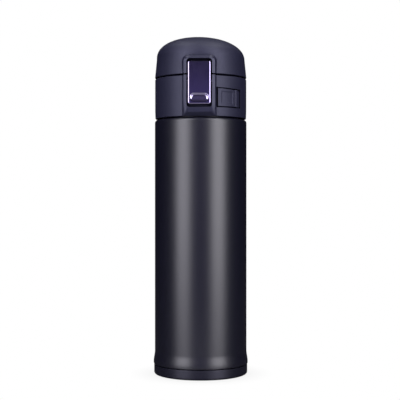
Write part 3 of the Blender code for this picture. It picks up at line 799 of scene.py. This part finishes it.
def lid_collar():
    """Ring with a deck, the lower half of the bezel, the lever's bay, the lock's window and two knuckles."""
    spout_hole = SPOUT_HIGH.x - 3.7
    clamp_z = SPOUT_LOW.z + 2.1
    corners = [
        (COLLAR_INSIDE, COLLAR_BOTTOM + 2, 0),
        (COLLAR_INSIDE, COLLAR_BOTTOM, 0.3),
        (COLLAR_RADIUS - 0.2, COLLAR_BOTTOM, 0.6),
        (COLLAR_RADIUS, COLLAR_BOTTOM + 6, 8.0),
        (COLLAR_RADIUS, DECK_TOP, 0.6),
        (spout_hole, DECK_TOP, 0.3),
        (spout_hole, clamp_z, 0.2),
        (spout_hole + 2.2, clamp_z, 0.2),
        (spout_hole + 2.2, DECK_BOTTOM, 0.5),
        (COLLAR_INSIDE, DECK_BOTTOM, 0.8),
    ]
    collar = lathe("collar", fillet(corners, 6))
    chin_room = [
        (BEZEL_FRONT + 0.5, CHIN_TOP),
        (BEZEL_FRONT + 3.1, COLLAR_BOTTOM + 0.4),
        (BEZEL_FRONT + 3.3, COLLAR_BOTTOM - 1),
        (BEZEL_FRONT - 1.0, COLLAR_BOTTOM - 1),
        (BEZEL_FRONT - 1.0, CHIN_TOP),
    ]
    cut(collar, prism_along_x("chin_room", -12.0, 12.0, chin_room))
    add(
        collar,
        bezel_block("bezel", COLLAR_BOTTOM, DECK_TOP),
        box("pocket_block", (-11.5, -32.0, POCKET_BOTTOM), (11.5, POCKET_WALL + 1.4, DECK_TOP - 0.5)),
        box("hinge_block", (-11.6, 28.0, DECK_TOP - 4.8), (11.6, 30.9, DECK_TOP - 0.2)),
    )
    slider_room_z = (WINDOW_Z[0] - 1.4, WINDOW_Z[1] + 1.4)
    shelf_z = (WINDOW_Z[0] + 0.3, WINDOW_Z[1] - 0.6)
    slot_half = TONGUE_HALF + TONGUE_ROOM
    cut(
        collar,
        opening("bay", BAY_WALL, OPENING_BOTTOM, ABOVE_DECK),
        box("pocket", (-OPENING_HALF, -33, POCKET_BOTTOM + 1.2), (OPENING_HALF, POCKET_WALL, 216)),
        ring_sector("window", (WINDOW_BACK, BEYOND_COLLAR), WINDOW_DEGREES, WINDOW_Z, WINDOW_FALL),
        ring_sector("slider_room", (WINDOW_BACK, COLLAR_INSIDE), (WINDOW_DEGREES[0], 63.5), slider_room_z),
        ring_sector("shelf_room", (30.0, SHELF_RADIUS + 0.2), (WINDOW_DEGREES[1] - 1, 67.5), shelf_z),
        box("tongue_slot", (8.4, -30.6, TONGUE_Z - slot_half), (13.0, -27.0, TONGUE_Z + slot_half)),
        pin_bore("lever_bore", LEVER_PIN, LEVER_PIN_RADIUS, 10.1),
        knuckle("cap_knuckle_room", -7.35, 7.35, PIVOT_ROOM),
    )
    add(collar, *knuckle_pair(*COLLAR_KNUCKLE))
    cut(collar, pin_bore("hinge_bore", HINGE, HINGE_PIN_RADIUS, 12))
    soften(collar, MOULDED_EDGE, 45, off_hinge_bore)
    return collar


def crown(inset, steps):
    """Profile of the dome from its spring line to its top, moved inwards by inset."""
    points = []
    for i in range(steps + 1):
        angle = math.radians(90 * i / steps)
        r = (CROWN_RADIUS - inset) * math.cos(angle) ** (2 / CROWN_POWER)
        z = CROWN_Z + (CAP_TOP - CROWN_Z - inset) * math.sin(angle) ** (2 / CROWN_POWER)
        points.append((r if i < steps else 0, z))
    return points


def lean(cap):
    """Leans the crown slightly towards -X, more and more from LEAN_Z upwards."""
    for vertex in cap.data.vertices:
        above = max(vertex.co.z / MM - LEAN_Z, 0.0)
        vertex.co.x -= LEAN * above * above / (above + LEAN_EASE) * MM


def cap_shell():
    """Domed cap with the upper half of the bezel, the opening for the lever's top and two hinge knuckles."""
    edge_corners = [
        (CAP_RADIUS - CAP_WALL, CAP_BOTTOM + 2, 0),
        (CAP_RADIUS - CAP_WALL, CAP_BOTTOM, 0.3),
        (CAP_RADIUS, CAP_BOTTOM, 0.6),
        (CROWN_RADIUS, CROWN_Z, 0),
    ]
    edge = fillet(edge_corners, 6)
    profile = list(reversed(crown(CAP_WALL, 20))) + edge[:-1] + crown(0, 40)
    cap = lathe("cap", profile)
    # (y, z) outline of the arm that holds a knuckle
    arm = [(30.9, 212.5), (34.3, 213.2), (33.5, 214.8), (33.35, 215.7), (32.4, 219.5), (30.9, 219.5)]
    near, far = CAP_KNUCKLE
    arms = [prism_along_x("arm", x, x + far - near, arm) for x in (near, -far)]
    add(cap, bezel_block("bezel", CAP_BOTTOM, CAP_TOP), *arms)
    cut(
        cap,
        opening("opening", CAP_BAY_WALL, POCKET_BOTTOM, OPENING_TOP),
        box("catch_window", (-5.0, -30, 218.4), (5.0, -26, 221.6)),
        *knuckle_pair(7.3, 11.3, PIVOT_ROOM),
        knuckle("spring_room", -3.2, 3.2, PIVOT_ROOM),
    )
    add(cap, *knuckle_pair(*CAP_KNUCKLE))
    cut(cap, pin_bore("hinge_bore", HINGE, HINGE_PIN_RADIUS, 12))
    soften(cap, MOULDED_EDGE, 45, off_hinge_bore)
    lean(cap)
    return cap


def mouthpiece():
    """Drinking spout: a tapered tube with a soft rim, on a flange under the deck."""
    rim_z = SPOUT_HIGH.z
    flange_z = SPOUT_LOW.z
    radius = SPOUT_HIGH.x - 4.1
    bore = radius - 5.4
    corners = [
        (bore, flange_z + 4, 0),
        (bore, flange_z, 0.3),
        (SPOUT_HIGH.x, flange_z, 0.2),
        (SPOUT_HIGH.x, flange_z + 1.7, 0.3),
        (radius, flange_z + 1.7, 0.4),
        (radius, DECK_TOP + 1.6, 1.5),
        (radius - 2.6, rim_z - 2.6, 4.0),
        (radius - 2.9, rim_z, 0.9),
        (bore, rim_z, 0.8),
    ]
    return lathe("spout", fillet(corners, 8), 128)


def cap_liner():
    """Lining of the cap: a ring, a disc and a socket for the seal."""
    top_z = LINER_HIGH.z
    disc_z = top_z - 1.2
    radius = LINER_HIGH.x
    corners = [
        (2.6, top_z, 0),
        (2.6, disc_z, 0.15),
        (14.2, disc_z, 0.3),
        (14.2, disc_z - 2.0, 0.25),
        (15.4, disc_z - 2.0, 0.25),
        (15.4, disc_z, 0.5),
        (radius - 1.9, disc_z, 1.6),
        (radius - 1.4, LINER_LOW.z, 0.3),
        (radius, LINER_LOW.z, 0.3),
        (radius - 0.5, top_z, 0.4),
        (8.0, top_z, 0),
    ]
    liner = lathe("liner", fillet(corners, 6), 128)
    cut(liner, box("front_room", (-12.8, -31, LINER_LOW.z - 1), (12.8, -27.4, top_z + 2)))
    soften(liner, FINE_EDGE, 50)
    return liner


def spout_seal():
    """Silicone seal: a disc with a sealing bead, a low plug and the button that snaps through the liner."""
    low_z = SEAL_LOW.z
    plug = 9.4
    disc = SEAL_HIGH.x
    disc_z = low_z + 1.25
    corners = [
        (0, low_z, 0),
        (plug, low_z, 0.4),
        (plug, disc_z, 0.2),
        (disc, disc_z, 0.4),
        (disc, disc_z + 2.25, 0.4),
        (2.2, disc_z + 2.25, 0.2),
        (2.2, SEAL_HIGH.z - 2.0, 0.2),
        (3.4, SEAL_HIGH.z - 1.7, 0.3),
        (2.6, SEAL_HIGH.z, 0.6),
        (0, SEAL_HIGH.z, 0),
    ]
    return lathe("seal", fillet(corners, 6), 96)


# ======== lever and lock pieces


def graded(low, high, fine, coarse, edge):
    """Samples from low to high, spaced finely within edge of both ends and coarsely between."""
    points = [low + fine * i for i in range(round(edge / fine))]
    middle = max(1, round((high - low - 2 * edge) / coarse))
    points += [low + edge + (high - low - 2 * edge) * i / middle for i in range(middle + 1)]
    points += [high - edge + fine * (i + 1) for i in range(round(edge / fine))]
    return points


def edge_drop(distance, width, depth, round_over=0.15):
    """How far a bevelled edge falls below the face, at a distance from the edge. Its corners are eased."""
    bevel = depth * (1 - distance / width)
    ease = 0.04
    eased = max(0.0, (bevel + math.sqrt(bevel * bevel + ease * ease) - ease) / 2)
    t = max(0.0, 1 - distance / round_over)
    rolled = round_over * (1 - math.sqrt(max(0.0, 1 - t * t)))
    return eased + rolled


def scoop_depth(x, z, foot_z):
    """Depth of the finger scoop: a round-cornered pocket, deepest at its top, that runs out at its foot."""
    top_z = foot_z + 7.2
    half_width = 6.6
    half_height = (top_z - foot_z) / 2
    corner = 3.0
    dx = abs(x) - half_width + corner
    dz = abs(z - (foot_z + half_height)) - half_height + corner
    outside = math.hypot(max(dx, 0), max(dz, 0)) + min(max(dx, dz), 0) - corner
    wall = smooth_step(-outside / 1.9)
    floor = min(max((z - foot_z) / (top_z - 2.0 - foot_z), 0.0), 1.0)
    return 1.1 * wall * floor ** 1.8


def lever_faceplate():
    """Plated plate with side bevels, a narrow one at the foot, a rolled top edge and the finger scoop."""
    half = PLATE_HIGH.x - 0.12
    low_z, high_z = PLATE_LOW.z + 0.4, PLATE_HIGH.z - 1.2
    face_y = PLATE_LOW.y

    def narrowing(z):
        """The plate's width at a height as a share of its full width."""
        corner = 1.5 if z - low_z < high_z - z else 0.9
        into_corner = max(0.0, corner - min(z - low_z, high_z - z))
        return (half - corner + math.sqrt(corner * corner - into_corner * into_corner)) / half

    def front(x, z):
        width = narrowing(z)
        side = edge_drop(half - abs(x), 0.62, 0.28)
        foot = edge_drop(z - low_z, 0.75, 0.42, 0.1)
        top = edge_drop(high_z - z, 0.1, 0.05, 0.1)
        return (x * width, face_y + max(side, foot, top) + scoop_depth(x, z, low_z + 0.8), z)

    def back(x, z):
        return (x * narrowing(z), PLATE_HIGH.y, z)

    xs = graded(-half, half, 0.06, 0.2, 1.5)
    zs = graded(low_z, low_z + 10.5, 0.1, 0.15, 1.5) + graded(low_z + 11.2, high_z, 0.06, 0.8, 0.9)
    return slab("faceplate", xs, zs, front, back)


def release_lever():
    """Carrier behind the faceplate, with ribs, two bosses on the pin and the hook."""
    half = CARRIER_HIGH.x
    front = CARRIER_LOW.y
    back = front + 1.2
    nose_y = CAP_BAY_WALL - 0.35
    carrier = box("lever_carrier", (-half, front, CARRIER_LOW.z), (half, back, CARRIER_HIGH.z))
    underside = [(back - 0.5, 217.6), (back, 217.6), (nose_y, 219.0)]
    hook = underside + [(nose_y, 220.2), (back, 221.2), (back - 0.5, 221.2)]
    bosses = [rod("boss", x, x + 4.0, LEVER_PIN, 1.6, 48) for x in (-half, half - 4.0)]
    ribs = [box("rib", (x - 0.5, back - 0.3, 212.5), (x + 0.5, back + 0.8, 217.8)) for x in (-3.5, 3.5)]
    add(carrier, prism_along_x("hook", -4.5, 4.5, hook), *bosses, *ribs)
    cut(
        carrier,
        box("spring_room", (-3.0, front - 1, 207.2), (3.0, back + 1, 211.8)),
        pin_bore("pin_bore", LEVER_PIN, LEVER_PIN_RADIUS, 9),
    )
    soften(carrier, FINE_EDGE, 45)
    return carrier


def lock_slider():
    """Curved plate with a shallow panel and a thumb rib, on a flange that holds it in its window."""
    face = COLLAR_RADIUS - 0.3
    back = 29.4
    low_z, high_z = WINDOW_Z[0] + 0.6, WINDOW_Z[1] - 0.6
    start, end = SLIDER_DEGREES
    per_degree = math.radians(1) * face
    rib_centre, rib_half, rib_height = end - 3.1, 0.7, 1.1
    panel_centre, panel_half = start + 14.0, 9.0

    def height(degrees, z):
        """The face's height above its plain cylinder, for the plate before its top is made to fall."""
        side = min(degrees - start, end - degrees) * per_degree
        edge = max(edge_drop(side, 0.25, 0.1, 0.3), edge_drop(min(z - low_z, high_z - z), 0.25, 0.1, 0.3))
        rib = rib_height * smooth_step((rib_half + 0.35 - abs(degrees - rib_centre) * per_degree) / 0.5)
        across = (panel_half - abs(degrees - panel_centre)) * per_degree
        along = (high_z - low_z) / 2 - 1.8 - abs(z - (low_z + high_z) / 2)
        panel = 0.25 * smooth_step(min(across, along) / 0.6)
        return rib - panel - edge

    def fallen(degrees, z):
        return z - WINDOW_FALL * (degrees - start) * (z - low_z) / (high_z - low_z)

    def front(degrees, z):
        return around_collar(face + height(degrees, z), degrees, fallen(degrees, z))

    def rear(degrees, z):
        return around_collar(back, degrees, fallen(degrees, z))

    angles = graded(start, end, 0.12, 0.24, 1.2)
    heights = graded(low_z, high_z, 0.07, 0.3, 0.7)
    slider = slab("slider", angles, heights, front, rear)
    flange = ring_sector("flange", (28.9, 30.35), (start, end + 2.1), (low_z - 1.6, high_z + 1.6))
    shelf = ring_sector("shelf", (back, SHELF_RADIUS), (end - 2, end + 6.6), (low_z + 0.1, high_z - 0.8))
    tongue = box("tongue", (8.2, -30.1, TONGUE_Z - TONGUE_HALF), (11.6, -29.0, TONGUE_Z + TONGUE_HALF))
    add(slider, flange, shelf, tongue)
    return slider


def coil_path(centre, radius, half_width, turns, start, steps_per_turn=28):
    """A coil around an X axis at (y, z), starting at an angle from +Y."""
    steps = int(turns * steps_per_turn)
    points = []
    for i in range(steps + 1):
        angle = start + TAU * turns * i / steps
        x = -half_width + 2 * half_width * i / steps
        points.append((x, centre[0] + radius * math.cos(angle), centre[1] + radius * math.sin(angle)))
    return points


def hinge_spring():
    """The coil with its deck leg, and the leg that turns with the cap, as two wires."""
    y, z = HINGE
    radius, half_width, wire = 1.6, 2.5, 0.3
    coil = coil_path(HINGE, radius, half_width, 4.25, math.radians(90))
    deck_leg = [(-half_width, y - 8.0, z + 1.65), (-half_width, y - 1.0, z + radius)]
    foot = [(half_width, y - radius, z - 0.2), (half_width, y - radius, z + 1.0)]
    cap_leg = foot + [(half_width, y - radius - 0.65, z + 6.5)]
    return tube("hinge_coil", deck_leg + coil, wire), tube("hinge_coil_cap_leg", cap_leg, wire)


def lever_spring():
    """The coil with its wall leg, and the leg that turns with the lever, as two wires."""
    y, z = LEVER_PIN
    radius, half_width, wire = 1.25, 1.3, 0.2
    coil = coil_path(LEVER_PIN, radius, half_width, 3.5, 0)
    wall_leg = [(-half_width, y + 1.0, z - 6.5), (-half_width, y + radius - 0.02, z - 1.2)]
    lever_leg = [
        (half_width, y - radius, z + 0.1),
        (half_width, y - radius, z - 1.0),
        (half_width, y - radius + 0.25, z - 1.7),
        (half_width, y - 0.35, z - 2.4),
        (half_width, y - 0.25, z - 8.5),
    ]
    return tube("lever_coil", wall_leg + coil, wire), tube("lever_coil_leg", lever_leg, wire)


# ======== assembly


def show_bottle(steel):
    show(body_shell(), body_paint(), "bottle", "body_paint", "outer_shell")
    show(base_cup(), base_plastic(), "bottle", "base_plastic", "base_cup")
    show(vessel(), steel, "bottle", "vessel_steel", "inner_vessel")


def show_lid(plastic, inner, wire, rubber):
    show(lid_collar(), plastic, "lid", "lid_plastic", "lid_collar")
    show(mouthpiece(), inner, "lid", "inner_plastic", "mouthpiece")
    show(cap_shell(), plastic, "cap", "lid_plastic", "cap_shell")
    show(cap_liner(), inner, "cap", "inner_plastic", "cap_liner")
    show(spout_seal(), rubber, "cap", "silicone_seal", "spout_seal")
    show(lock_slider(), plastic, "lock", "lid_plastic", "lock_slider")
    show(release_lever(), lever_plastic(), "lever", "lever_plastic", "release_lever")
    show(lever_faceplate(), lever_plating(), "lever", "lever_plating", "lever_faceplate")
    hinge_coil, cap_leg = hinge_spring()
    lever_coil, lever_leg = lever_spring()
    hinge_bar = rod("hinge_bar", HINGE_PIN_LOW.x, HINGE_PIN_HIGH.x, HINGE, HINGE_PIN_RADIUS, 48, 0.2)
    lever_bar = rod("lever_bar", LEVER_PIN_LOW.x, LEVER_PIN_HIGH.x, LEVER_PIN, LEVER_PIN_RADIUS, 48, 0.15)
    steel_pieces = [
        (hinge_bar, "lid", "hinge_pin"),
        (lever_bar, "lid", "lever_pin"),
        (hinge_coil, "lid", "hinge_spring"),
        (cap_leg, "cap"),
        (lever_coil, "lid", "lever_spring"),
        (lever_leg, "lever"),
    ]
    for piece, body, *nodes in steel_pieces:
        show(piece, wire, body, "spring_steel", *nodes)


def dress_kept_nodes(materials):
    """Gives each CAD node that stays in view its procedural material."""
    for node, material in materials.items():
        piece = frame["nodes"][node]
        for slot in piece.material_slots:
            slot.material = material


# ======== studio


def make_world():
    """White to the camera, and nearly black to everything else."""
    world = bpy.data.worlds.new("studio")
    world.use_nodes = True
    tree = world.node_tree
    node, link = tree.nodes.new, tree.links.new
    path = node("ShaderNodeLightPath")
    mix = node("ShaderNodeMix")
    mix.data_type = "RGBA"
    mix.inputs["A"].default_value = (0.01, 0.01, 0.012, 1.0)
    mix.inputs["B"].default_value = (1.0, 1.0, 1.0, 1.0)
    link(path.outputs["Is Camera Ray"], mix.inputs["Factor"])
    link(mix.outputs["Result"], tree.nodes["Background"].inputs["Color"])
    bpy.context.scene.world = world


def floor_glow(tree):
    """What the camera sees of the floor: white, with a painted soft shadow where something stands on it."""
    node, link = tree.nodes.new, tree.links.new
    # painted contact shadow: the glow is dimmed where ambient occlusion finds something near
    nearby = node("ShaderNodeAmbientOcclusion")
    nearby.inputs["Distance"].default_value = 0.02
    lit = node("ShaderNodeMapRange")
    lit.inputs["From Min"].default_value = 0.4
    lit.inputs["To Min"].default_value = 0.88
    glow = node("ShaderNodeEmission")
    link(nearby.outputs["AO"], lit.inputs["Value"])
    link(lit.outputs["Result"], glow.inputs["Color"])
    return glow.outputs["Emission"]


def floor_bounce(tree):
    """What the flask sees of the floor: dark satin, with a pale patch in front of the flask."""
    node, link = tree.nodes.new, tree.links.new
    place = node("ShaderNodeTexCoord")
    from_patch = node("ShaderNodeVectorMath")
    from_patch.operation = "DISTANCE"
    from_patch.inputs[1].default_value = PALE_PATCH
    paleness = node("ShaderNodeValToRGB")
    paleness.color_ramp.interpolation = "EASE"
    for stop, radius, grey in zip(paleness.color_ramp.elements, PALE_PATCH_RADII, PALE_PATCH_GREYS):
        stop.position = radius
        stop.color = (grey, grey, grey, 1.0)
    matt = node("ShaderNodeBsdfDiffuse")
    gloss = node("ShaderNodeBsdfGlossy")
    gloss.inputs["Roughness"].default_value = 0.3
    satin = node("ShaderNodeMixShader")
    satin.inputs["Fac"].default_value = 0.3
    link(place.outputs["Object"], from_patch.inputs[0])
    link(from_patch.outputs["Value"], paleness.inputs["Fac"])
    link(paleness.outputs["Color"], matt.inputs["Color"])
    link(matt.outputs["BSDF"], satin.inputs[1])
    link(gloss.outputs["BSDF"], satin.inputs[2])
    return satin.outputs["Shader"]


def make_floor():
    """Plain pale floor, just under the flask."""
    mesh = bpy.data.meshes.new("floor")
    sides = (-FLOOR_HALF, FLOOR_HALF)
    mesh.from_pydata([(x, y, 0) for x in sides for y in sides], [], [(0, 2, 3, 1)])
    floor = new_object("floor", mesh)
    floor.location.z = CAD_LOW.z - FLOOR_GAP
    material = bpy.data.materials.new("floor")
    material.use_nodes = True
    tree = material.node_tree
    node, link = tree.nodes.new, tree.links.new
    tree.nodes.remove(tree.nodes["Principled BSDF"])
    path = node("ShaderNodeLightPath")
    choose = node("ShaderNodeMixShader")
    link(path.outputs["Is Camera Ray"], choose.inputs["Fac"])
    link(floor_bounce(tree), choose.inputs[1])
    link(floor_glow(tree), choose.inputs[2])
    link(choose.outputs["Shader"], tree.nodes["Material Output"].inputs["Surface"])
    mesh.materials.append(material)


def make_camera():
    """Camera level with the middle of the flask, a little to the lever's right."""
    distance, height = 0.7458, 0.12705
    azimuth = math.radians(1.75)
    tilt = math.radians(0.084)
    turn = math.radians(0.04)
    camera_data = bpy.data.cameras.new("camera")
    camera_data.sensor_width = 36.0
    camera_data.lens = 92.1
    camera_data.clip_start = 0.05
    camera = new_object("camera", camera_data)
    camera.location = (distance * math.sin(azimuth), -distance * math.cos(azimuth), height)
    camera.rotation_euler = (math.radians(90) - tilt, 0, azimuth + turn)
    bpy.context.scene.camera = camera
    return camera


def rectangular_lamp(name, width, height, radiance):
    """A lamp that shines along its -Z, out of the camera's sight."""
    lamp = bpy.data.lights.new(name, "AREA")
    lamp.shape = "RECTANGLE"
    lamp.size = width
    lamp.size_y = height
    lamp.energy = radiance * math.pi * width * height
    holder = new_object(name, lamp)
    holder.visible_camera = False
    return holder


def softbox(camera, name, azimuth, distance, centre_z, width, height, radiance, tint):
    """A lamp that faces the flask, placed by its azimuth from the camera, and carried by the camera."""
    holder = rectangular_lamp(name, width, height, radiance)
    holder.data.color = tint
    angle = math.radians(azimuth) + math.atan2(camera.location.x, -camera.location.y)
    holder.location = (distance * math.sin(angle), -distance * math.cos(angle), centre_z)
    target = Vector((0, 0, centre_z))
    holder.rotation_euler = (target - holder.location).to_track_quat("-Z", "Y").to_euler()
    bpy.context.view_layer.update()
    holder.parent = camera
    holder.matrix_parent_inverse = camera.matrix_world.inverted()


def overhead(name, x, radiance):
    """A lamp that hangs over the flask and faces down."""
    rectangular_lamp(name, 0.2, 0.5, radiance).location = (x, 0.07, 1.05)


def make_studio():
    """Surround, floor, two tall strips beside the camera, two weak fills in front and two lamps overhead."""
    make_world()
    make_floor()
    camera = make_camera()
    # name, azimuth in degrees, distance, height of the middle, width, height, radiance, tint
    softboxes = [
        ("left_strip", -43.5, 0.8, 0.80, 0.47, 1.6, 7.2, (1.0, 0.98, 1.07)),
        ("right_strip", 43, 0.8, 0.80, 0.46, 1.6, 7.9, (1.0, 0.98, 1.05)),
        ("front_fill", 0, 1.2, 0.19, 0.8, 0.32, 0.15, (1.0, 0.8, 2.3)),
        ("high_fill", 0, 1.2, 1.08, 0.8, 0.64, 0.15, (1.0, 0.85, 1.7)),
    ]
    for facts in softboxes:
        softbox(camera, *facts)
    overhead("left_overhead", -0.29, 8.0)
    overhead("right_overhead", 0.29, 9.0)
    bpy.context.scene.view_settings.view_transform = "Standard"


def main():
    steel = vessel_steel()
    plastic = lid_plastic()
    inner = inner_plastic()
    wire = spring_steel()
    rubber = silicone()
    show_bottle(steel)
    show_lid(plastic, inner, wire, rubber)
    kept = {
        "copper_foil_wrap": copper_foil(),
        "getter": getter_metal(),
        "outer_bottom_plate": steel,
        "vacuum_seal_bead": sealing_glass(),
        "stopper_body": inner,
        "stopper_gasket": rubber,
        "mouthpiece_gasket": rubber,
    }
    dress_kept_nodes(kept)
    make_studio()


main()
